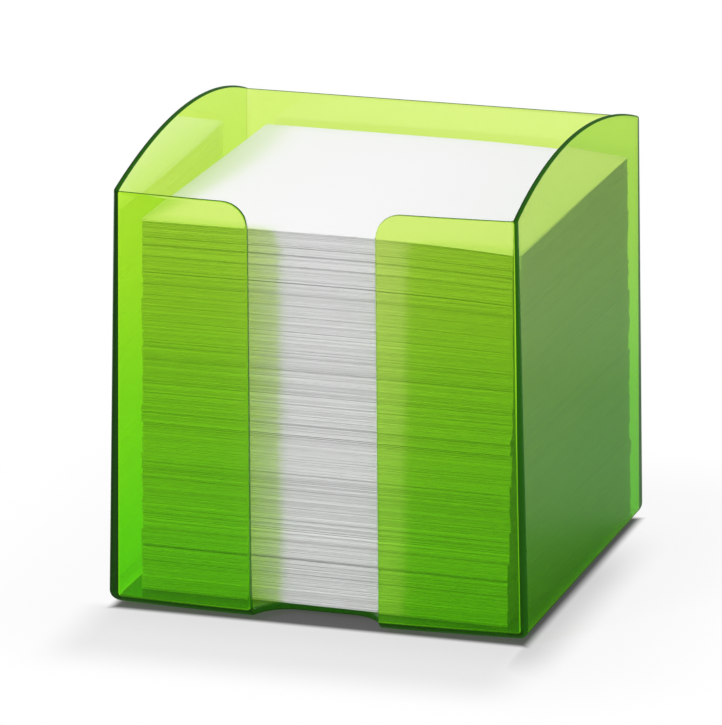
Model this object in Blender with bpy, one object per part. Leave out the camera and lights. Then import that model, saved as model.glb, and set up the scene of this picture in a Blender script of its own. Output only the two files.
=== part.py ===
"""Memo cube holder: a clear green moulded box with arched side walls and a finger
slot, filled with loose white note sheets.  Metres, Z up, front towards -Y,
origin on the floor under the middle of the box."""

import math
import random

import bmesh
import bpy

# Outside of the moulded box
base_width = 0.1016
base_depth = 0.1007
top_width_front = 0.0963
top_width_back = 0.0990
top_depth = 0.1010
front_rim_height = 0.1007
back_rim_height = 0.1001
arch_radius = 0.160
front_bow = 0.0019
side_bow = 0.0006
set_back = 0.00095

# Walls and base
wall_thickness_low = 0.0021
wall_thickness_top = 0.0013
base_thickness = 0.0018
corner_radius_low = 0.0012
corner_radius_top = 0.0008
inner_corner_radius = 0.0005
corner_share_at_base = 0.5
bottom_edge_radius = 0.0031
inner_bend_radius = 0.0006
rim_edge_radius = 0.00030
foot_height = 0.0012
foot_radius = 0.0040
foot_inset = 0.0180
foot_embed = 0.0007

# Finger slot, which ends in a notch in the base
slot_width_low = 0.0310
slot_width_top = 0.0303
slot_top_radius = 0.0062
slot_first_run_share = 1.25
notch_radius = 0.0090

# Loose note sheets, sized by the play they have inside the box
play_across_low = 0.0079
play_across_top = 0.0042
play_deep_low = 0.0070
play_deep_top = 0.0089
stack_below_rim = 0.0081
sheet_side = min(
    base_width - 2 * wall_thickness_low - play_across_low,
    top_width_front - 2 * wall_thickness_top - play_across_top,
    base_depth - 2 * wall_thickness_low - play_deep_low,
    top_depth - 2 * wall_thickness_top - play_deep_top)
stack_height = front_rim_height - foot_height - base_thickness - stack_below_rim
sheet_thickness = 0.0001
packet_count = 24
packet_air = 0.0001
stack_right_low = 0.0016
stack_right_top = 0.0018
stack_back = 0.0017
stack_turn_low = math.radians(-1.90)
stack_turn_top = math.radians(-0.20)
top_sheet_right = 0.0017
top_sheet_turn = math.radians(-0.70)
packet_shift = 0.00018
packet_turn = math.radians(0.12)
edge_droop = 0.0014
droop_start_share = 0.52
droop_depth_share = 0.55

# Mesh steps
slot_arc_steps = 8
notch_steps = 9
panel_steps = 5
corner_steps = 5
side_steps = 22
back_steps = 6
bend_steps = 6
wall_rows = 4
edge_segments = 2
foot_sides = 32
sheet_steps = 14
smooth_angle = math.radians(35)
rim_angle = math.radians(50)
sheet_seed = 7


def clear_objects():
    """Empty the file of whatever objects it starts with."""
    for thing in list(bpy.data.objects):
        bpy.data.objects.remove(thing, do_unlink=True)


def surface_material(name, colour, roughness, transmission):
    """One plain surface with its own colour and gloss."""
    material = bpy.data.materials.new(name)
    material.use_nodes = True
    shader = material.node_tree.nodes["Principled BSDF"]
    shader.inputs["Base Color"].default_value = colour
    shader.inputs["Roughness"].default_value = roughness
    shader.inputs["Metallic"].default_value = 0
    shader.inputs["Transmission Weight"].default_value = transmission
    return material


def green_plastic():
    """Clear bottle green styrene."""
    return surface_material("green_plastic", (0.30, 0.72, 0.05, 1), 0.08, 0.85)


def note_paper():
    """Uncoated white paper."""
    return surface_material("note_paper", (0.88, 0.88, 0.86, 1), 0.85, 0)


def mesh_object(name, verts, faces, material):
    """A new object from lists of points and faces, its origin at the world origin."""
    mesh = bpy.data.meshes.new(name)
    mesh.from_pydata(verts, [], faces)
    mesh.materials.append(material)
    thing = bpy.data.objects.new(name, mesh)
    bpy.context.collection.objects.link(thing)
    return thing


def mix(low, high, share):
    return low + (high - low) * share


# Plan of the box at each height

def height_share(height):
    return height / front_rim_height


def thickness_at(height):
    return mix(wall_thickness_low, wall_thickness_top, height_share(height))


def half_depth(height, inset):
    return mix(base_depth, top_depth, height_share(height)) / 2 - inset


def half_width(y, height, inset):
    """Half width: the side walls lean in, more so at the front."""
    reach = half_depth(height, inset)
    along = (y / reach + 1) / 2
    bow = side_bow * (1 - (y / reach) ** 2)
    top = mix(top_width_front, top_width_back, along) / 2 - bow
    return mix(base_width / 2, top, height_share(height)) - inset


def rim_height(y):
    """Top edge of a side wall: one arc from the front rim to the back rim."""
    rise = back_rim_height - front_rim_height
    half_chord = math.hypot(top_depth, rise) / 2
    down = math.sqrt(arch_radius ** 2 - half_chord ** 2)
    centre_y = rise / (2 * half_chord) * down
    centre_z = (front_rim_height + back_rim_height) / 2 - top_depth / (2 * half_chord) * down
    return centre_z + math.sqrt(arch_radius ** 2 - (y - centre_y) ** 2)


def slot_edge(height, run_in):
    """Half width of the slot; under the bend it follows the notch's rounded corner."""
    half = mix(slot_width_low, slot_width_top, height_share(height)) / 2
    return half - notch_radius + math.sqrt(notch_radius ** 2 - run_in ** 2)


def panel_columns():
    """Columns of a front panel from the slot edge outwards: run past the edge, and top height.
    The first run leaves room for the rounded edge of the slot."""
    columns = [("arc", 0.0, front_rim_height - slot_top_radius)]
    first = math.acos(1 - slot_first_run_share * rim_edge_radius / slot_top_radius)
    for step in range(slot_arc_steps):
        angle = mix(first, math.pi / 2, step / (slot_arc_steps - 1))
        run = slot_top_radius * (1 - math.cos(angle))
        top = front_rim_height - slot_top_radius * (1 - math.sin(angle))
        columns.append(("arc", run, top))
    for step in range(1, panel_steps + 1):
        columns.append(("panel", step / panel_steps, front_rim_height))
    return columns


def left_columns():
    """All columns of the left half, from the slot edge round to the middle of the back."""
    columns = panel_columns()
    for step in range(1, corner_steps + 1):
        columns.append(("front_corner", step / corner_steps, None))
    for step in range(1, side_steps + 1):
        columns.append(("side", step / side_steps, None))
    for step in range(1, corner_steps + 1):
        columns.append(("back_corner", step / corner_steps, None))
    for step in range(1, back_steps // 2 + 1):
        columns.append(("back", 2 * step / back_steps, back_rim_height))
    return columns


def left_point(column, height, inset, radius, slot_x):
    """Place in plan of a column of the left half, so far in from the outside."""
    kind, share, _ = column
    deep = half_depth(height, inset)
    start_y = -(deep - radius)
    front_x = half_width(start_y, height, inset) - radius
    back_x = half_width(-start_y, height, inset) - radius
    if kind in ("arc", "panel"):
        if kind == "arc":
            x = slot_x + share
        else:
            x = mix(slot_x + slot_top_radius, front_x, share)
        return -x, set_back - deep - front_bow * (1 - (x / front_x) ** 2)
    if kind == "front_corner":
        angle = math.pi / 2 * share
        return -front_x - radius * math.sin(angle), set_back + start_y - radius * math.cos(angle)
    if kind == "side":
        y = mix(start_y, -start_y, share)
        return -half_width(y, height, inset), set_back + y
    if kind == "back_corner":
        angle = math.pi / 2 * share
        return -back_x - radius * math.cos(angle), set_back - start_y + radius * math.sin(angle)
    return -back_x * (1 - share), set_back + deep


def outer_radius(height):
    return mix(corner_radius_low, corner_radius_top, height_share(height))


def column_top(column):
    """Height of the free edge over a column."""
    if column[2] is not None:
        return column[2]
    _, y = left_point(column, front_rim_height, 0.0, corner_radius_top, slot_width_top / 2)
    return rim_height(y - set_back)


def column_points(column, outside):
    """Points up one column of the outside or inside: round the bottom bend, then up the wall."""
    level = foot_height if outside else foot_height + base_thickness
    bend = bottom_edge_radius if outside else inner_bend_radius
    points = []
    for row in range(bend_steps + 1):
        angle = math.pi / 2 * row / bend_steps
        height = level + bend * (1 - math.cos(angle))
        turned_in = bend * (1 - math.sin(angle))
        radius = outer_radius(height) if outside else inner_corner_radius
        radius *= mix(1, corner_share_at_base, turned_in / bend)
        inset = turned_in if outside else turned_in + thickness_at(height)
        x, y = left_point(column, height, inset, radius, slot_edge(height, inset))
        points.append((x, y, height))
    start = points[-1][2]
    top = column_top(column)
    for row in range(1, wall_rows + 1):
        height = mix(start, top, row / wall_rows)
        radius = outer_radius(height) if outside else inner_corner_radius
        inset = 0.0 if outside else thickness_at(height)
        x, y = left_point(column, height, inset, radius, slot_edge(height, 0.0))
        points.append((x, y, height))
    return points


def notch_points(start, outside):
    """Left rounded corner of the notch in the base, from the bend inwards."""
    x, y, height = start
    inset = bottom_edge_radius if outside else inner_bend_radius + thickness_at(height)
    first = math.asin(inset / notch_radius)
    centre_x = x + notch_radius * math.cos(first)
    centre_y = y - notch_radius * math.sin(first)
    points = []
    for step in range(1, notch_steps + 1):
        angle = mix(first, math.pi / 2, step / notch_steps)
        points.append((
            centre_x - notch_radius * math.cos(angle),
            centre_y + notch_radius * math.sin(angle),
            height))
    return points


def skin(verts, faces, outside):
    """Adds the outside or inside face of the box, and returns the loop of its open edge."""
    left = [column_points(column, outside) for column in left_columns()]
    right = [[(-x, y, z) for x, y, z in column] for column in left[-2::-1]]
    columns = left + right
    rows = bend_steps + wall_rows + 1
    first = len(verts)
    verts += [point for column in columns for point in column]
    for i in range(len(columns) - 1):
        for j in range(rows - 1):
            here = first + i * rows + j
            beyond = here + rows
            faces.append((here, here + 1, beyond + 1, beyond))
    notch = notch_points(left[0][0], outside)
    first_notch = len(verts)
    verts += notch
    verts += [(-x, y, z) for x, y, z in notch[::-1]]
    notch_loop = list(range(first_notch, len(verts)))
    base_loop = [first + i * rows for i in range(len(columns))]
    faces.append(tuple(base_loop + notch_loop[::-1]))
    last = first + (len(columns) - 1) * rows
    down = [first + j for j in range(rows - 1, -1, -1)]
    up = [last + j for j in range(rows)]
    rim = [first + i * rows + rows - 1 for i in range(len(columns) - 2, 0, -1)]
    return down + notch_loop + up + rim


def box_mesh(material):
    """Outside and inside of the box, joined round rim, slot and notch by one strip."""
    verts = []
    faces = []
    outer = skin(verts, faces, True)
    inner = skin(verts, faces, False)
    for i, here in enumerate(outer):
        after = (i + 1) % len(outer)
        faces.append((here, outer[after], inner[after], inner[i]))
    box = mesh_object("holder", verts, faces, material)
    shape = bmesh.new()
    shape.from_mesh(box.data)
    bmesh.ops.recalc_face_normals(shape, faces=shape.faces)
    shape.to_mesh(box.data)
    shape.free()
    return box


def round_rims(box):
    """Soften the free edges of rim, slot and notch."""
    bevel = box.modifiers.new("rims", "BEVEL")
    bevel.width = rim_edge_radius
    bevel.segments = edge_segments
    bevel.limit_method = "ANGLE"
    bevel.angle_limit = rim_angle
    bevel.use_clamp_overlap = False


def add_feet(box):
    """Four low round feet under the base, part of the same moulding."""
    for side in (-1, 1):
        for end in (-1, 1):
            mesh = bpy.data.meshes.new("foot")
            shape = bmesh.new()
            bmesh.ops.create_cone(
                shape, cap_ends=True, segments=foot_sides, radius1=foot_radius,
                radius2=foot_radius, depth=foot_height + foot_embed)
            shape.to_mesh(mesh)
            shape.free()
            foot = bpy.data.objects.new("foot", mesh)
            bpy.context.collection.objects.link(foot)
            foot.location = (
                side * (base_width / 2 - foot_inset),
                set_back + end * (base_depth / 2 - foot_inset),
                (foot_height + foot_embed) / 2)
            foot.hide_render = True
            foot.display_type = "WIRE"
            union = box.modifiers.new("foot", "BOOLEAN")
            union.operation = "UNION"
            union.solver = "EXACT"
            union.object = foot


def shade(thing, angle):
    """Smooth shading that keeps edges sharper than the angle."""
    thing.data.shade_smooth()
    thing.data.set_sharp_from_angle(angle=angle)


def build_box(material):
    """The moulded box: base, walls, slot, rims and feet in one piece."""
    box = box_mesh(material)
    round_rims(box)
    add_feet(box)
    shade(box, smooth_angle)
    return box


# Loose sheets

def droop(x, height):
    """How far the right side of the stack has settled at this place."""
    across = (x / sheet_side + 1 / 2 - droop_start_share) / (1 - droop_start_share)
    up = (height / stack_height - droop_depth_share) / (1 - droop_depth_share)
    if across <= 0 or up <= 0:
        return 0.0
    return edge_droop * across ** 2 * up


def sheets(name, low, high, place, turn, material):
    """A block of sheets between two heights above the base, settled on the right."""
    floor = foot_height + base_thickness
    outline = []
    for step in range(sheet_steps + 1):
        x = sheet_side * (step / sheet_steps - 1 / 2)
        outline.append((x, floor + low - droop(x, low)))
    for step in range(sheet_steps, -1, -1):
        x = sheet_side * (step / sheet_steps - 1 / 2)
        outline.append((x, floor + high - droop(x, high)))
    count = len(outline)
    verts = [(x, -sheet_side / 2, z) for x, z in outline]
    verts += [(x, sheet_side / 2, z) for x, z in outline]
    front = tuple(range(count))
    back = tuple(range(2 * count - 1, count - 1, -1))
    faces = [front, back]
    for i in range(count):
        after = (i + 1) % count
        faces.append((after, i, i + count, after + count))
    block = mesh_object(name, verts, faces, material)
    block.location = place
    block.rotation_euler = (0, 0, turn)
    return block


def build_sheets(material):
    """The loose sheets: packets that lie a little out of line, and the top sheet."""
    chance = random.Random(sheet_seed)
    pitch = (stack_height - sheet_thickness) / packet_count
    for index in range(packet_count):
        share = index / (packet_count - 1)
        low = pitch * index
        high = low + pitch - packet_air
        place = (
            mix(stack_right_low, stack_right_top, share) + chance.uniform(-1, 1) * packet_shift,
            stack_back + chance.uniform(-1, 1) * packet_shift,
            0)
        turn = mix(stack_turn_low, stack_turn_top, share) + chance.uniform(-1, 1) * packet_turn
        sheets("sheet_packet_%02d" % (index + 1), low, high, place, turn, material)
    top = stack_height - sheet_thickness
    place = (top_sheet_right, stack_back, 0)
    sheets("top_sheet", top, stack_height, place, top_sheet_turn, material)


clear_objects()
build_box(green_plastic())
build_sheets(note_paper())
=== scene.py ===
import math
import random

import bmesh
import bpy
from mathutils import Matrix, Vector


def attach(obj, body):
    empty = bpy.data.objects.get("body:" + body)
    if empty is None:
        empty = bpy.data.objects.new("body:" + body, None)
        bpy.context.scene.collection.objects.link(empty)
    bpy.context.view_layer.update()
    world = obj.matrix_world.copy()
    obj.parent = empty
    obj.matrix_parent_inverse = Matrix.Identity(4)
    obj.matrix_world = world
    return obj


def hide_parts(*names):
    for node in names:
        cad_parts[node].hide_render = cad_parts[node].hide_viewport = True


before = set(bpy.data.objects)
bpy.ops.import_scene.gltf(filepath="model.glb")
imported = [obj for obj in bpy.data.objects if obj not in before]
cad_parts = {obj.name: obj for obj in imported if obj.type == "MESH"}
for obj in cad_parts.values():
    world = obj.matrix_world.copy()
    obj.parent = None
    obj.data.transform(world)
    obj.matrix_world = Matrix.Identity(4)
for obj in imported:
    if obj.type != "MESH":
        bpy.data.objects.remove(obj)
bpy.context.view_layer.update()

# Outside of the moulded box
base_width = 0.1016
base_depth = 0.1007
top_width_front = 0.0963
top_width_back = 0.0990
top_depth = 0.1010
front_rim_height = 0.1007
back_rim_height = 0.1001
arch_radius = 0.160
front_bow = 0.0019
side_bow = 0.0006
set_back = 0.00095

# Walls and base
wall_thickness_low = 0.0021
wall_thickness_top = 0.0012
base_thickness = 0.0018
corner_radius_low = 0.0012
corner_radius_top = 0.0016
inner_corner_radius = 0.0005
corner_share_at_base = 0.5
bottom_edge_radius = 0.0031
inner_bend_radius = 0.0006
rim_edge_radius = 0.00055
foot_height = 0.0012
foot_radius = 0.0040
foot_inset = 0.0180
foot_embed = 0.0007

# Finger slot, which ends in a notch in the base
slot_width_low = 0.0310
slot_width_top = 0.0303
slot_top_radius = 0.0062
slot_first_run_share = 1.15
notch_radius = 0.0090

# Mesh steps of the box
slot_arc_steps = 14
notch_steps = 16
panel_steps = 8
corner_steps = 10
side_steps = 44
back_steps = 10
bend_steps = 10
wall_rows = 8
edge_segments = 4
foot_sides = 48
rim_angle = math.radians(50)
smooth_angle = math.radians(40)

# Loose note sheets
sheet_side = 0.0895
stack_height = 0.0896
packet_count = 24
sheets_in_packet = 37
sheet_fill = 0.92
top_sheet_thickness = 0.0001
stack_right_low = 0.0016
stack_right_top = 0.0018
stack_back = 0.0017
stack_turn_low = math.radians(-1.90)
stack_turn_top = math.radians(-0.20)
top_sheet_right = 0.0017
top_sheet_turn = math.radians(-0.70)
packet_shift = 0.00018
packet_turn = math.radians(0.12)
edge_droop = 0.0014
droop_start_share = 0.52
droop_depth_share = 0.55
sheet_slip_across = 0.00007
sheet_slip_back = 0.00014
clump_slip = 0.00016
clump_height = 0.0019
sunk_share = 0.07
sunk_back = 0.0006
sheet_steps = 15
place_seed = 7

# Green plastic and paper, as light per channel
plastic_refraction = 1.59
# Painted shade: the base colour is darker green at the base and clear at the rim, for the dimmer
# light low in the box
green_painted_shade_at_base = (0.55, 0.93, 0.62, 1)
green_at_rim = (1.0, 1.0, 1.0, 1)
green_in_streaks = (0.90, 0.99, 0.82, 1)
green_in_depth = (0.815, 0.957, 0.0, 1)
depth_density = 1200.0
# Painted glow: a faint green emission on the plastic that stands in for light trapped in the walls;
# it is no lamp
painted_glow_colour = (0.20, 0.75, 0.02, 1)
painted_glow_strength = 0.03
lamp_light_through_face = (0.90, 0.94, 0.90, 1)
paper_refraction = 1.45
paper_white = (0.905, 0.905, 0.91, 1)
paper_fibre_grey = (0.84, 0.84, 0.845, 1)
# Cut edges of the stack: partly the paper's own tone from sheet to sheet, partly painted shade in
# the gaps between sheets
cut_edge_grey_and_shade = (0.73, 0.73, 0.735, 1)
cut_edge_white = (0.90, 0.90, 0.90, 1)

# Floor tones from 0 for black to 1 for white, for the painted shade under the box and the painted
# soft shadow, and how far that shadow runs
painted_shade_under_box = 0.08
front_shadow_at_edge = 0.21
front_shadow_near_step = 0.05
front_shadow_far_step = 0.16
front_shadow_near = 0.022
front_shadow_far = 0.046
right_shadow_at_edge = 0.31
right_shadow_reach = 0.013
shadow_start = 0.004
floor_matt_grey = (0.62, 0.62, 0.625, 1)
floor_mirrored_grey = (0.08, 0.08, 0.08, 1)

# Room light from 0 for black to 1 for white
room_light = 0.42
room_light_less_right = 0.31
room_light_mirrored = 0.10
room_light_through_glass = 0.88

# Camera and lamps
lamp_target = (0, 0, 0.05)
top_lamp_place = (-0.35, 0.45, 1.3)
top_lamp_size = 1.1
top_lamp_power = 9.9
key_lamp_place = (-0.54, -0.83, 0.72)
key_lamp_size = 0.22
key_lamp_power = 7.6
camera_place = Vector((0.4787, -1.53035, 0.5290))
camera_azimuth = math.radians(17.517)
camera_elevation = math.radians(16.643)
camera_roll = math.radians(-0.344)
camera_lens = 353.63
floor_reach = 4.0


class Wire:
    """One socket of a node tree. A sum written with wires adds its Math nodes."""

    def __init__(self, tree, socket=None):
        self.tree = tree
        self.socket = socket

    def node(self, kind, settings=None, values=None, output=0):
        """A node of any kind: its settings first, then what its sockets hold."""
        made = self.tree.nodes.new(kind)
        for name, value in (settings or {}).items():
            if name == "stops":
                ramp = made.color_ramp.elements
                while len(ramp) < len(value):
                    ramp.new(0.5)
                for stop, (place, colour) in zip(ramp, value):
                    stop.position = place
                    stop.color = colour
            else:
                setattr(made, name, value)
        for name, value in (values or {}).items():
            if isinstance(value, Wire):
                self.tree.links.new(value.socket, made.inputs[name])
            else:
                made.inputs[name].default_value = value
        return Wire(self.tree, made.outputs[output] if made.outputs else None)

    def sum(self, operation, *values):
        return self.node("ShaderNodeMath", {"operation": operation}, dict(enumerate(values)))

    def __add__(self, other):
        return self.sum("ADD", self, other)

    __radd__ = __add__

    def __sub__(self, other):
        return self.sum("SUBTRACT", self, other)

    def __rsub__(self, other):
        return self.sum("SUBTRACT", other, self)

    def __mul__(self, other):
        return self.sum("MULTIPLY", self, other)

    __rmul__ = __mul__

    def __truediv__(self, other):
        return self.sum("DIVIDE", self, other)

    def __rtruediv__(self, other):
        return self.sum("DIVIDE", other, self)


def fresh_material(name):
    """A material with an empty node tree, and a wire to build it with."""
    material = bpy.data.materials.new(name)
    material.use_nodes = True
    material.node_tree.nodes.clear()
    return material, Wire(material.node_tree)


def blend_colours(start, factor, first, second):
    return start.node(
        "ShaderNodeMix", {"data_type": "RGBA"}, {0: factor, 6: first, 7: second}, 2)


def between(wire, low, high):
    """0 below low, 1 above high, and smooth in between."""
    return wire.node(
        "ShaderNodeMapRange", {"interpolation_type": "SMOOTHSTEP"},
        {"Value": wire, "From Min": low, "From Max": high})


def green_styrene():
    """Clear bottle green styrene: green absorbed with depth, a base colour painted darker lower
    down as shade, a faint painted green glow, fine moulding ripple, faint smears.
    """
    material, start = fresh_material("green_styrene")
    place = start.node("ShaderNodeTexCoord", output="Object")
    height = start.node("ShaderNodeSeparateXYZ", values={0: place}, output="Z")
    flow = start.node(
        "ShaderNodeTexNoise", values={"Vector": place, "Scale": 22.0, "Detail": 2.0})
    smear = start.node("ShaderNodeTexNoise", values={
        "Vector": place, "Scale": 90.0, "Detail": 4.0, "Roughness": 0.6})
    # Painted shade: the base colour runs from darker green at the base to clear at the rim, for the
    # dimmer light low in the box
    deep = between(height, 0.008, 0.100)
    tint = blend_colours(
        start, deep, green_painted_shade_at_base, green_at_rim)
    colour = blend_colours(
        start, between(flow, 0.35, 0.70) * 0.25, tint, green_in_streaks)
    gloss = 0.015 + between(smear, 0.50, 0.80) * 0.035
    ripple = start.node(
        "ShaderNodeBump", values={"Strength": 0.05, "Distance": 0.0004, "Height": flow})
    # The emission below gives the plastic its faint painted green glow
    plastic = start.node("ShaderNodeBsdfPrincipled", values={
        "Base Color": colour,
        "Roughness": gloss,
        "Metallic": 0.0,
        "IOR": plastic_refraction,
        "Transmission Weight": 1.0,
        "Emission Color": painted_glow_colour,
        "Emission Strength": painted_glow_strength,
        "Normal": ripple})
    clear = start.node("ShaderNodeBsdfTransparent", values={"Color": lamp_light_through_face})
    lamp = start.node("ShaderNodeLightPath", output="Is Shadow Ray")
    seen = start.node("ShaderNodeMixShader", values={0: lamp, 1: plastic, 2: clear})
    depth = start.node(
        "ShaderNodeVolumeAbsorption",
        values={"Color": green_in_depth, "Density": depth_density})
    start.node("ShaderNodeOutputMaterial", values={"Surface": seen, "Volume": depth})
    return material


def note_paper():
    """Uncoated white paper: fine fibre, and cut edges painted greyer than the faces, in bands that
    differ from sheet to sheet: partly the paper's own tone, partly painted shade between sheets.
    """
    material, start = fresh_material("note_paper")
    place = start.node("ShaderNodeTexCoord", output="Object")
    stretch = start.node(
        "ShaderNodeMapping", values={"Vector": place, "Scale": (7.0, 7.0, 3400.0)})
    layer = start.node("ShaderNodeTexNoise", values={
        "Vector": stretch, "Scale": 1.0, "Detail": 3.0, "Roughness": 0.7})
    fibre = start.node("ShaderNodeTexNoise", values={
        "Vector": place, "Scale": 1800.0, "Detail": 5.0, "Roughness": 0.65})
    facing = start.node("ShaderNodeNewGeometry", output="Normal")
    upward = start.node("ShaderNodeSeparateXYZ", values={0: facing}, output="Z")
    # The side faces get greyer bands by height: partly real tone, partly painted shade between the
    # sheets
    cut_edge = 1 - between(upward, 0.3, 0.7)
    tone = blend_colours(
        start, between(layer, 0.30, 0.60), cut_edge_grey_and_shade, cut_edge_white)
    sheet = blend_colours(start, cut_edge, paper_white, tone)
    colour = blend_colours(
        start, between(fibre, 0.42, 0.75) * 0.10, sheet, paper_fibre_grey)
    rough = 0.82 + fibre * 0.12
    tooth = start.node(
        "ShaderNodeBump", values={"Strength": 0.15, "Distance": 0.00004, "Height": fibre})
    paper = start.node("ShaderNodeBsdfPrincipled", values={
        "Base Color": colour,
        "Roughness": rough,
        "Metallic": 0.0,
        "IOR": paper_refraction,
        "Normal": tooth})
    start.node("ShaderNodeOutputMaterial", values={"Surface": paper})
    return material


def mix(low, high, share):
    return low + (high - low) * share


# Plan of the box at each height

def height_share(height):
    return height / front_rim_height


def thickness_at(height):
    return mix(wall_thickness_low, wall_thickness_top, height_share(height))


def half_depth(height, inset):
    return mix(base_depth, top_depth, height_share(height)) / 2 - inset


def half_width(y, height, inset):
    """Half width: the side walls lean in, more so at the front."""
    reach = half_depth(height, inset)
    along = (y / reach + 1) / 2
    bow = side_bow * (1 - (y / reach) ** 2)
    top = mix(top_width_front, top_width_back, along) / 2 - bow
    return mix(base_width / 2, top, height_share(height)) - inset


def rim_height(y):
    """Top edge of a side wall: one arc from the front rim to the back rim."""
    rise = back_rim_height - front_rim_height
    half_chord = math.hypot(top_depth, rise) / 2
    down = math.sqrt(arch_radius ** 2 - half_chord ** 2)
    centre_y = rise / (2 * half_chord) * down
    centre_z = (front_rim_height + back_rim_height) / 2 - top_depth / (2 * half_chord) * down
    return centre_z + math.sqrt(arch_radius ** 2 - (y - centre_y) ** 2)


def slot_edge(height, run_in):
    """Half width of the slot; under the bend it follows the notch's rounded corner."""
    half = mix(slot_width_low, slot_width_top, height_share(height)) / 2
    return half - notch_radius + math.sqrt(notch_radius ** 2 - run_in ** 2)


def panel_columns():
    """Columns of a front panel from the slot edge outwards: run past the edge, and top height.
    The first run leaves room for the rounded edge of the slot."""
    columns = [("arc", 0.0, front_rim_height - slot_top_radius)]
    first = math.acos(1 - slot_first_run_share * rim_edge_radius / slot_top_radius)
    for step in range(slot_arc_steps):
        angle = mix(first, math.pi / 2, step / (slot_arc_steps - 1))
        run = slot_top_radius * (1 - math.cos(angle))
        top = front_rim_height - slot_top_radius * (1 - math.sin(angle))
        columns.append(("arc", run, top))
    for step in range(1, panel_steps + 1):
        columns.append(("panel", step / panel_steps, front_rim_height))
    return columns


def left_columns():
    """All columns of the left half, from the slot edge round to the middle of the back."""
    columns = panel_columns()
    for step in range(1, corner_steps + 1):
        columns.append(("front_corner", step / corner_steps, None))
    for step in range(1, side_steps + 1):
        columns.append(("side", step / side_steps, None))
    for step in range(1, corner_steps + 1):
        columns.append(("back_corner", step / corner_steps, None))
    for step in range(1, back_steps // 2 + 1):
        columns.append(("back", 2 * step / back_steps, back_rim_height))
    return columns


def left_point(column, height, inset, radius, slot_x):
    """Place in plan of a column of the left half, so far in from the outside."""
    kind, share, _ = column
    deep = half_depth(height, inset)
    start_y = -(deep - radius)
    front_x = half_width(start_y, height, inset) - radius
    back_x = half_width(-start_y, height, inset) - radius
    if kind in ("arc", "panel"):
        if kind == "arc":
            x = slot_x + share
        else:
            x = mix(slot_x + slot_top_radius, front_x, share)
        return -x, set_back - deep - front_bow * (1 - (x / front_x) ** 2)
    if kind == "front_corner":
        angle = math.pi / 2 * share
        return -front_x - radius * math.sin(angle), set_back + start_y - radius * math.cos(angle)
    if kind == "side":
        y = mix(start_y, -start_y, share)
        return -half_width(y, height, inset), set_back + y
    if kind == "back_corner":
        angle = math.pi / 2 * share
        return -back_x - radius * math.cos(angle), set_back - start_y + radius * math.sin(angle)
    return -back_x * (1 - share), set_back + deep


def outer_radius(height):
    return mix(corner_radius_low, corner_radius_top, height_share(height))


def column_top(column):
    """Height of the free edge over a column."""
    if column[2] is not None:
        return column[2]
    _, y = left_point(column, front_rim_height, 0.0, corner_radius_top, slot_width_top / 2)
    return rim_height(y - set_back)


def column_points(column, outside):
    """Points up one column of the outside or inside: round the bottom bend, then up the wall."""
    level = foot_height if outside else foot_height + base_thickness
    bend = bottom_edge_radius if outside else inner_bend_radius
    points = []
    for row in range(bend_steps + 1):
        angle = math.pi / 2 * row / bend_steps
        height = level + bend * (1 - math.cos(angle))
        turned_in = bend * (1 - math.sin(angle))
        radius = outer_radius(height) if outside else inner_corner_radius
        radius *= mix(1, corner_share_at_base, turned_in / bend)
        inset = turned_in if outside else turned_in + thickness_at(height)
        x, y = left_point(column, height, inset, radius, slot_edge(height, inset))
        points.append((x, y, height))
    start = points[-1][2]
    top = column_top(column)
    for row in range(1, wall_rows + 1):
        height = mix(start, top, row / wall_rows)
        radius = outer_radius(height) if outside else inner_corner_radius
        inset = 0.0 if outside else thickness_at(height)
        x, y = left_point(column, height, inset, radius, slot_edge(height, 0.0))
        points.append((x, y, height))
    return points


def notch_points(start, outside):
    """Left rounded corner of the notch in the base, from the bend inwards."""
    x, y, height = start
    inset = bottom_edge_radius if outside else inner_bend_radius + thickness_at(height)
    first = math.asin(inset / notch_radius)
    centre_x = x + notch_radius * math.cos(first)
    centre_y = y - notch_radius * math.sin(first)
    points = []
    for step in range(1, notch_steps + 1):
        angle = mix(first, math.pi / 2, step / notch_steps)
        points.append((
            centre_x - notch_radius * math.cos(angle),
            centre_y + notch_radius * math.sin(angle),
            height))
    return points


def skin(verts, faces, outside):
    """Adds the outside or inside face of the box, and returns the loop of its open edge."""
    left = [column_points(column, outside) for column in left_columns()]
    right = [[(-x, y, z) for x, y, z in column] for column in left[-2::-1]]
    columns = left + right
    rows = bend_steps + wall_rows + 1
    first = len(verts)
    verts += [point for column in columns for point in column]
    for i in range(len(columns) - 1):
        for j in range(rows - 1):
            here = first + i * rows + j
            beyond = here + rows
            faces.append((here, here + 1, beyond + 1, beyond))
    notch = notch_points(left[0][0], outside)
    first_notch = len(verts)
    verts += notch
    verts += [(-x, y, z) for x, y, z in notch[::-1]]
    notch_loop = list(range(first_notch, len(verts)))
    base_loop = [first + i * rows for i in range(len(columns))]
    faces.append(tuple(base_loop + notch_loop[::-1]))
    last = first + (len(columns) - 1) * rows
    down = [first + j for j in range(rows - 1, -1, -1)]
    up = [last + j for j in range(rows)]
    rim = [first + i * rows + rows - 1 for i in range(len(columns) - 2, 0, -1)]
    return down + notch_loop + up + rim


def box_mesh():
    """Outside and inside of the box, joined round rim, slot and notch by one strip."""
    verts = []
    faces = []
    outer = skin(verts, faces, True)
    inner = skin(verts, faces, False)
    for i, here in enumerate(outer):
        after = (i + 1) % len(outer)
        faces.append((here, outer[after], inner[after], inner[i]))
    mesh = bpy.data.meshes.new("box_shell")
    mesh.from_pydata(verts, [], faces)
    shape = bmesh.new()
    shape.from_mesh(mesh)
    bmesh.ops.recalc_face_normals(shape, faces=shape.faces)
    shape.to_mesh(mesh)
    shape.free()
    shell = bpy.data.objects.new("box_shell", mesh)
    bpy.context.scene.collection.objects.link(shell)
    return shell


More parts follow.
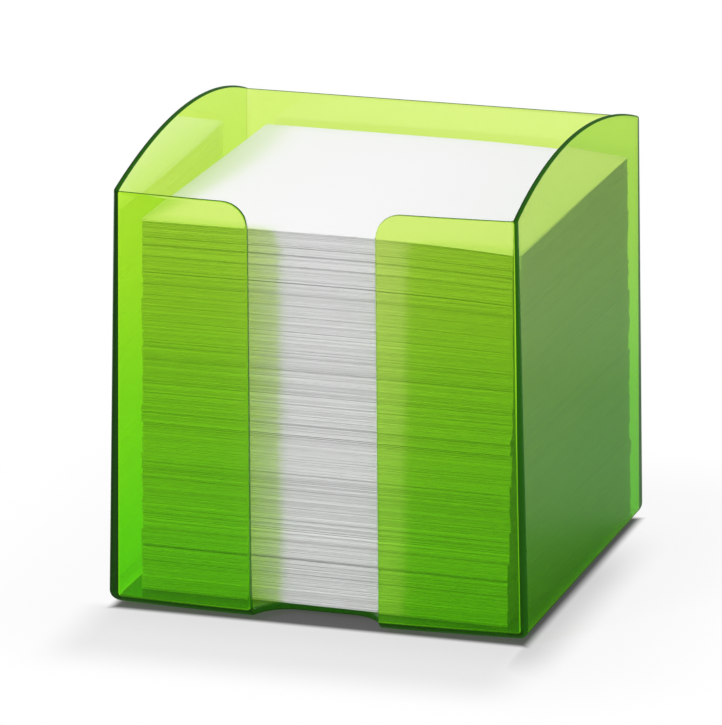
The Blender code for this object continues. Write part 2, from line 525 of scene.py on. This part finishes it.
def box_foot(side, end):
    """One low round foot, to be joined to the base."""
    mesh = bpy.data.meshes.new("foot")
    shape = bmesh.new()
    middle = Matrix.Translation((
        side * (base_width / 2 - foot_inset),
        set_back + end * (base_depth / 2 - foot_inset),
        (foot_height + foot_embed) / 2))
    bmesh.ops.create_cone(
        shape, cap_ends=True, segments=foot_sides, radius1=foot_radius,
        radius2=foot_radius, depth=foot_height + foot_embed, matrix=middle)
    shape.to_mesh(mesh)
    shape.free()
    foot = bpy.data.objects.new("foot", mesh)
    bpy.context.scene.collection.objects.link(foot)
    return foot


def moulded_box(material):
    """The box: shell, rounded rims and feet, as one plain mesh."""
    shell = box_mesh()
    rims = shell.modifiers.new("rims", "BEVEL")
    rims.width = rim_edge_radius
    rims.segments = edge_segments
    rims.limit_method = "ANGLE"
    rims.angle_limit = rim_angle
    rims.use_clamp_overlap = False
    feet = [box_foot(side, end) for side in (-1, 1) for end in (-1, 1)]
    for foot in feet:
        union = shell.modifiers.new("foot", "BOOLEAN")
        union.operation = "UNION"
        union.solver = "EXACT"
        union.object = foot
    box = plain_copy(shell, "clear_box")
    bpy.data.objects.remove(shell)
    for foot in feet:
        bpy.data.objects.remove(foot)
    box.data.materials.clear()
    box.data.materials.append(material)
    box.data.shade_smooth()
    box.data.set_sharp_from_angle(angle=smooth_angle)
    weighted = box.modifiers.new("even_shading", "WEIGHTED_NORMAL")
    weighted.keep_sharp = True
    return box


def plain_copy(thing, name):
    """What a thing's modifiers make of it, as a plain mesh object."""
    bpy.context.view_layer.update()
    graph = bpy.context.evaluated_depsgraph_get()
    mesh = bpy.data.meshes.new_from_object(thing.evaluated_get(graph))
    mesh.name = name
    made = bpy.data.objects.new(name, mesh)
    bpy.context.scene.collection.objects.link(made)
    return made


# Loose sheets

pile_inputs = (
    ("Sheets", "NodeSocketInt"),
    ("Side", "NodeSocketFloat"),
    ("Pitch", "NodeSocketFloat"),
    ("Thickness", "NodeSocketFloat"),
    ("Low", "NodeSocketFloat"),
    ("Floor", "NodeSocketFloat"),
    ("Slip Across", "NodeSocketFloat"),
    ("Slip Back", "NodeSocketFloat"),
    ("Clump Slip", "NodeSocketFloat"),
    ("Clump Height", "NodeSocketFloat"),
    ("Sunk Share", "NodeSocketFloat"),
    ("Sunk Back", "NodeSocketFloat"),
    ("Stack Height", "NodeSocketFloat"),
    ("Droop", "NodeSocketFloat"),
    ("Droop Start", "NodeSocketFloat"),
    ("Droop Depth", "NodeSocketFloat"),
    ("Across", "NodeSocketFloat"),
    ("Back", "NodeSocketFloat"),
    ("Turn", "NodeSocketFloat"),
    ("Seed", "NodeSocketInt"),
    ("Paper", "NodeSocketMaterial"),
)


def pile_tree():
    """Node tree of a pile of loose sheets, each a little out of line and settled on the right."""
    tree = bpy.data.node_groups.new("sheet_pile", "GeometryNodeTree")
    for name, kind in pile_inputs:
        tree.interface.new_socket(name, in_out="INPUT", socket_type=kind)
    tree.interface.new_socket("Pile", in_out="OUTPUT", socket_type="NodeSocketGeometry")
    start = Wire(tree)
    entry = tree.nodes.new("NodeGroupInput")
    given = {name: Wire(tree, entry.outputs[name]) for name, _ in pile_inputs}
    number = start.node("GeometryNodeInputIndex")
    level = given["Low"] + number * given["Pitch"]
    clump = start.sum("FLOOR", level / given["Clump Height"])

    def chance(key, seed_step, reach):
        """A shift between minus and plus reach, fixed for each key."""
        return start.node(
            "FunctionNodeRandomValue", {"data_type": "FLOAT"},
            {2: -1 * reach, 3: reach, 7: key, 8: given["Seed"] + seed_step}, 1)

    across = chance(number, 1, given["Slip Across"]) + chance(clump, 2, given["Clump Slip"])
    back = chance(number, 3, given["Slip Back"]) + chance(clump, 4, given["Clump Slip"])
    sunk = start.sum("GREATER_THAN", chance(number, 5, 1.0), 1 - 2 * given["Sunk Share"])
    across = across - sunk * given["Clump Slip"]
    back = back + sunk * given["Sunk Back"]
    spot = start.node(
        "ShaderNodeCombineXYZ",
        values={0: across, 1: back, 2: level + given["Thickness"] / 2 + given["Floor"]})
    points = start.node(
        "GeometryNodePoints", values={"Count": given["Sheets"], "Position": spot})
    size = start.node(
        "ShaderNodeCombineXYZ", values={0: given["Side"], 1: given["Side"], 2: given["Thickness"]})
    sheet = start.node(
        "GeometryNodeMeshCube",
        values={"Size": size, "Vertices X": sheet_steps, "Vertices Y": 2, "Vertices Z": 2})
    pile = start.node(
        "GeometryNodeInstanceOnPoints", values={"Points": points, "Instance": sheet})
    solid = start.node("GeometryNodeRealizeInstances", values={"Geometry": pile})
    place = start.node("GeometryNodeInputPosition")
    here = start.node("ShaderNodeSeparateXYZ", values={0: place})
    x = here
    z = Wire(tree, here.socket.node.outputs[2])
    run = (x / given["Side"] + 0.5 - given["Droop Start"]) / (1 - given["Droop Start"])
    rise = ((z - given["Floor"]) / given["Stack Height"] - given["Droop Depth"]) / (
        1 - given["Droop Depth"])
    run = start.sum("MAXIMUM", run, 0.0)
    rise = start.sum("MAXIMUM", rise, 0.0)
    fall = 0 - given["Droop"] * run * run * rise
    offset = start.node("ShaderNodeCombineXYZ", values={2: fall})
    settled = start.node("GeometryNodeSetPosition", values={"Geometry": solid, "Offset": offset})
    spin = start.node("ShaderNodeCombineXYZ", values={2: given["Turn"]})
    move = start.node("ShaderNodeCombineXYZ", values={0: given["Across"], 1: given["Back"]})
    placed = start.node(
        "GeometryNodeTransform",
        values={"Geometry": settled, "Translation": move, "Rotation": spin})
    covered = start.node(
        "GeometryNodeSetMaterial", values={"Geometry": placed, "Material": given["Paper"]})
    leave = tree.nodes.new("NodeGroupOutput")
    tree.links.new(covered.socket, leave.inputs[0])
    return tree


def pile(name, tree, sizes):
    """One pile of sheets made by the tree with these sizes, as a plain mesh."""
    mesh = bpy.data.meshes.new("pile_start")
    holder = bpy.data.objects.new("pile_start", mesh)
    bpy.context.scene.collection.objects.link(holder)
    modifier = holder.modifiers.new("sheets", "NODES")
    modifier.node_group = tree
    for socket in tree.interface.items_tree:
        if socket.in_out == "INPUT":
            modifier[socket.identifier] = sizes[socket.name]
    made = plain_copy(holder, name)
    holder.modifiers.clear()
    bpy.data.objects.remove(holder)
    return made


def note_sheets(paper):
    """All the loose sheets: a pile for each packet of the model, and the top sheet."""
    tree = pile_tree()
    chance = random.Random(place_seed)
    step = (stack_height - top_sheet_thickness) / packet_count
    common = {
        "Side": sheet_side,
        "Floor": foot_height + base_thickness,
        "Clump Height": clump_height,
        "Sunk Back": sunk_back,
        "Stack Height": stack_height,
        "Droop": edge_droop,
        "Droop Start": droop_start_share,
        "Droop Depth": droop_depth_share,
        "Paper": paper,
    }
    for index in range(packet_count):
        share = index / (packet_count - 1)
        across = mix(stack_right_low, stack_right_top, share) + chance.uniform(-1, 1) * packet_shift
        back = stack_back + chance.uniform(-1, 1) * packet_shift
        turn = mix(stack_turn_low, stack_turn_top, share) + chance.uniform(-1, 1) * packet_turn
        sheets = pile("sheets_%02d" % (index + 1), tree, dict(
            common, Sheets=sheets_in_packet, Pitch=step / sheets_in_packet,
            Thickness=step / sheets_in_packet * sheet_fill, Low=step * index,
            Across=across, Back=back, Turn=turn, Seed=10 * index,
            **{"Slip Across": sheet_slip_across, "Slip Back": sheet_slip_back,
               "Clump Slip": clump_slip, "Sunk Share": sunk_share}))
        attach(sheets, "refill")
        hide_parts("sheet_packet_%02d" % (index + 1))
    top = pile("upper_sheet", tree, dict(
        common, Sheets=1, Pitch=top_sheet_thickness, Thickness=top_sheet_thickness,
        Low=stack_height - top_sheet_thickness, Across=top_sheet_right,
        Back=stack_back, Turn=top_sheet_turn, Seed=0,
        **{"Slip Across": 0.0, "Slip Back": 0.0, "Clump Slip": 0.0, "Sunk Share": 0.0}))
    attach(top, "single_sheet")
    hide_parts("top_sheet")


# Stage

def studio_floor():
    """A plain white table with painted shade under the box and a painted soft shadow in front and
    to the right.
    The camera sees it by this painted tone, the box is lit by its matt surface."""
    mesh = bpy.data.meshes.new("studio_floor")
    reach = floor_reach
    mesh.from_pydata(
        [(-reach, -reach, 0), (reach, -reach, 0), (reach, reach, 0), (-reach, reach, 0)],
        [], [(0, 1, 2, 3)])
    floor = bpy.data.objects.new("studio_floor", mesh)
    bpy.context.scene.collection.objects.link(floor)
    material, start = fresh_material("studio_floor")
    place = start.node("ShaderNodeTexCoord", output="Object")
    x = start.node("ShaderNodeSeparateXYZ", values={0: place}, output="X")
    y = start.node("ShaderNodeSeparateXYZ", values={0: place}, output="Y")
    past_side = start.sum("ABSOLUTE", x) - base_width / 2
    past_end = start.sum("ABSOLUTE", y - set_back) - base_depth / 2
    out_side = start.sum("MAXIMUM", past_side, 0.0)
    out_end = start.sum("MAXIMUM", past_end, 0.0)
    inward = start.sum("MINIMUM", start.sum("MAXIMUM", past_side, past_end), 0.0)
    away = start.sum("SQRT", out_side * out_side + out_end * out_end) + inward
    # The shade under the box and the soft shadows are painted into the floor's tone here, not cast
    # by the lamps
    past_front = set_back - base_depth / 2 - y
    past_right = x - base_width / 2
    front_width = between(x, -0.060, -0.046) * (1 - between(x, 0.046, 0.062))
    in_front = front_width * between(past_front, -shadow_start, 0.0)
    near_step = between(past_front, 0.0, front_shadow_near) * front_shadow_near_step
    far_step = between(past_front, front_shadow_near, front_shadow_far) * front_shadow_far_step
    front_dark = in_front * (front_shadow_at_edge - near_step - far_step)
    right_length = between(y, -0.080, -0.050) * (1 - between(y, 0.0, 0.045))
    beside = right_length * between(past_right, -shadow_start, 0.0)
    fading = between(past_right, 0.0, right_shadow_reach) * right_shadow_at_edge
    right_dark = beside * (right_shadow_at_edge - fading)
    shadow = start.sum("MAXIMUM", front_dark, right_dark)
    in_open = between(away, -0.002, 0.001)
    shade = painted_shade_under_box + in_open * (1 - painted_shade_under_box - shadow)
    tone = start.node("ShaderNodeCombineColor", values={0: shade, 1: shade, 2: shade})
    matt = start.node(
        "ShaderNodeBsdfDiffuse", values={"Color": floor_matt_grey})
    dark = start.node(
        "ShaderNodeBsdfDiffuse", values={"Color": floor_mirrored_grey})
    # The camera sees the floor as this emission, which carries the painted shade and shadow
    white = start.node(
        "ShaderNodeEmission", values={"Color": tone, "Strength": 1.0})
    camera_ray = start.node("ShaderNodeLightPath", output="Is Camera Ray")
    glossy_ray = start.node("ShaderNodeLightPath", output="Is Glossy Ray")
    through_ray = start.node("ShaderNodeLightPath", output="Is Transmission Ray")
    spread = start.node("ShaderNodeLightPath", output="Diffuse Depth")
    straight = through_ray * start.sum("LESS_THAN", spread, 0.5)
    mirrored = start.sum("MAXIMUM", glossy_ray - through_ray, 0.0)
    dimmed = mirrored * (0.92 - between(y, -0.05, 0.10) * 0.45)
    whole = 0.90 + between(away, 0.01, 0.06) * 0.10
    through_share = 0.85 - between(x, -0.07, 0.01) * 0.27
    lift = start.sum("MAXIMUM", camera_ray * whole, straight * through_share)
    plain = start.node("ShaderNodeMixShader", values={0: dimmed, 1: matt, 2: dark})
    seen = start.node("ShaderNodeMixShader", values={0: lift, 1: plain, 2: white})
    below = start.node("ShaderNodeNewGeometry", output="Backfacing")
    clear = start.node("ShaderNodeBsdfTransparent")
    both = start.node("ShaderNodeMixShader", values={0: below, 1: seen, 2: clear})
    start.node("ShaderNodeOutputMaterial", values={"Surface": both})
    floor.data.materials.append(material)


def studio_world():
    """Soft white room: white where the camera looks, dimmer on the right."""
    world = bpy.data.worlds.new("studio")
    bpy.context.scene.world = world
    world.use_nodes = True
    world.node_tree.nodes.clear()
    start = Wire(world.node_tree)
    way = start.node("ShaderNodeTexCoord", output="Generated")
    side = start.node("ShaderNodeSeparateXYZ", values={0: way}, output="X")
    right = between(side, -0.1, 0.9)
    soft_tone = room_light - right * room_light_less_right
    soft_grey = start.node(
        "ShaderNodeCombineColor", values={0: soft_tone, 1: soft_tone, 2: soft_tone})
    soft = start.node("ShaderNodeBackground", values={"Color": soft_grey, "Strength": 1.0})
    dim = start.node(
        "ShaderNodeBackground", values={"Color": (1, 1, 1, 1), "Strength": room_light_mirrored})
    camera_ray = start.node("ShaderNodeLightPath", output="Is Camera Ray")
    white_tone = room_light_through_glass + camera_ray * (1 - room_light_through_glass)
    white_grey = start.node(
        "ShaderNodeCombineColor", values={0: white_tone, 1: white_tone, 2: white_tone})
    white = start.node("ShaderNodeBackground", values={"Color": white_grey, "Strength": 1.0})
    glossy_ray = start.node("ShaderNodeLightPath", output="Is Glossy Ray")
    through_ray = start.node("ShaderNodeLightPath", output="Is Transmission Ray")
    spread = start.node("ShaderNodeLightPath", output="Diffuse Depth")
    straight = through_ray * start.sum("LESS_THAN", spread, 0.5)
    mirrored = start.sum("MAXIMUM", glossy_ray - through_ray, 0.0)
    around = start.node("ShaderNodeMixShader", values={0: mirrored, 1: soft, 2: dim})
    seen = start.node("ShaderNodeMixShader", values={
        0: start.sum("MAXIMUM", camera_ray, straight), 1: around, 2: white})
    start.node("ShaderNodeOutputWorld", values={"Surface": seen})


def soft_lamp(name, place, target, size, power):
    """A square soft box. It reaches the paper through the plastic as shadow rays only,
    so that its light isn't counted twice there."""
    light = bpy.data.lights.new(name, "AREA")
    light.shape = "SQUARE"
    light.size = size
    light.energy = power
    lamp = bpy.data.objects.new(name, light)
    bpy.context.scene.collection.objects.link(lamp)
    lamp.location = place
    lamp.rotation_euler = (Vector(place) - Vector(target)).to_track_quat("Z", "Y").to_euler()
    lamp.visible_transmission = False
    lamp.visible_glossy = False


def photo_camera():
    """The camera that the photograph was fitted with."""
    back = Vector((
        math.sin(camera_azimuth) * math.cos(camera_elevation),
        -math.cos(camera_azimuth) * math.cos(camera_elevation),
        math.sin(camera_elevation)))
    level = Vector((math.cos(camera_azimuth), math.sin(camera_azimuth), 0))
    upright = back.cross(level)
    right = level * math.cos(camera_roll) + upright * math.sin(camera_roll)
    up = upright * math.cos(camera_roll) - level * math.sin(camera_roll)
    data = bpy.data.cameras.new("photo_camera")
    data.lens = camera_lens
    data.clip_end = 50
    camera = bpy.data.objects.new("photo_camera", data)
    bpy.context.scene.collection.objects.link(camera)
    turn = Matrix((right, up, back)).transposed().to_4x4()
    camera.matrix_world = Matrix.Translation(camera_place) @ turn
    bpy.context.scene.camera = camera


photo_camera()
studio_floor()
studio_world()
soft_lamp("top_soft_box", top_lamp_place, lamp_target, top_lamp_size, top_lamp_power)
soft_lamp("key_soft_box", key_lamp_place, lamp_target, key_lamp_size, key_lamp_power)
bpy.context.scene.view_settings.view_transform = "Standard"

box = moulded_box(green_styrene())
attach(box, "box")
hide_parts("holder")
note_sheets(note_paper())
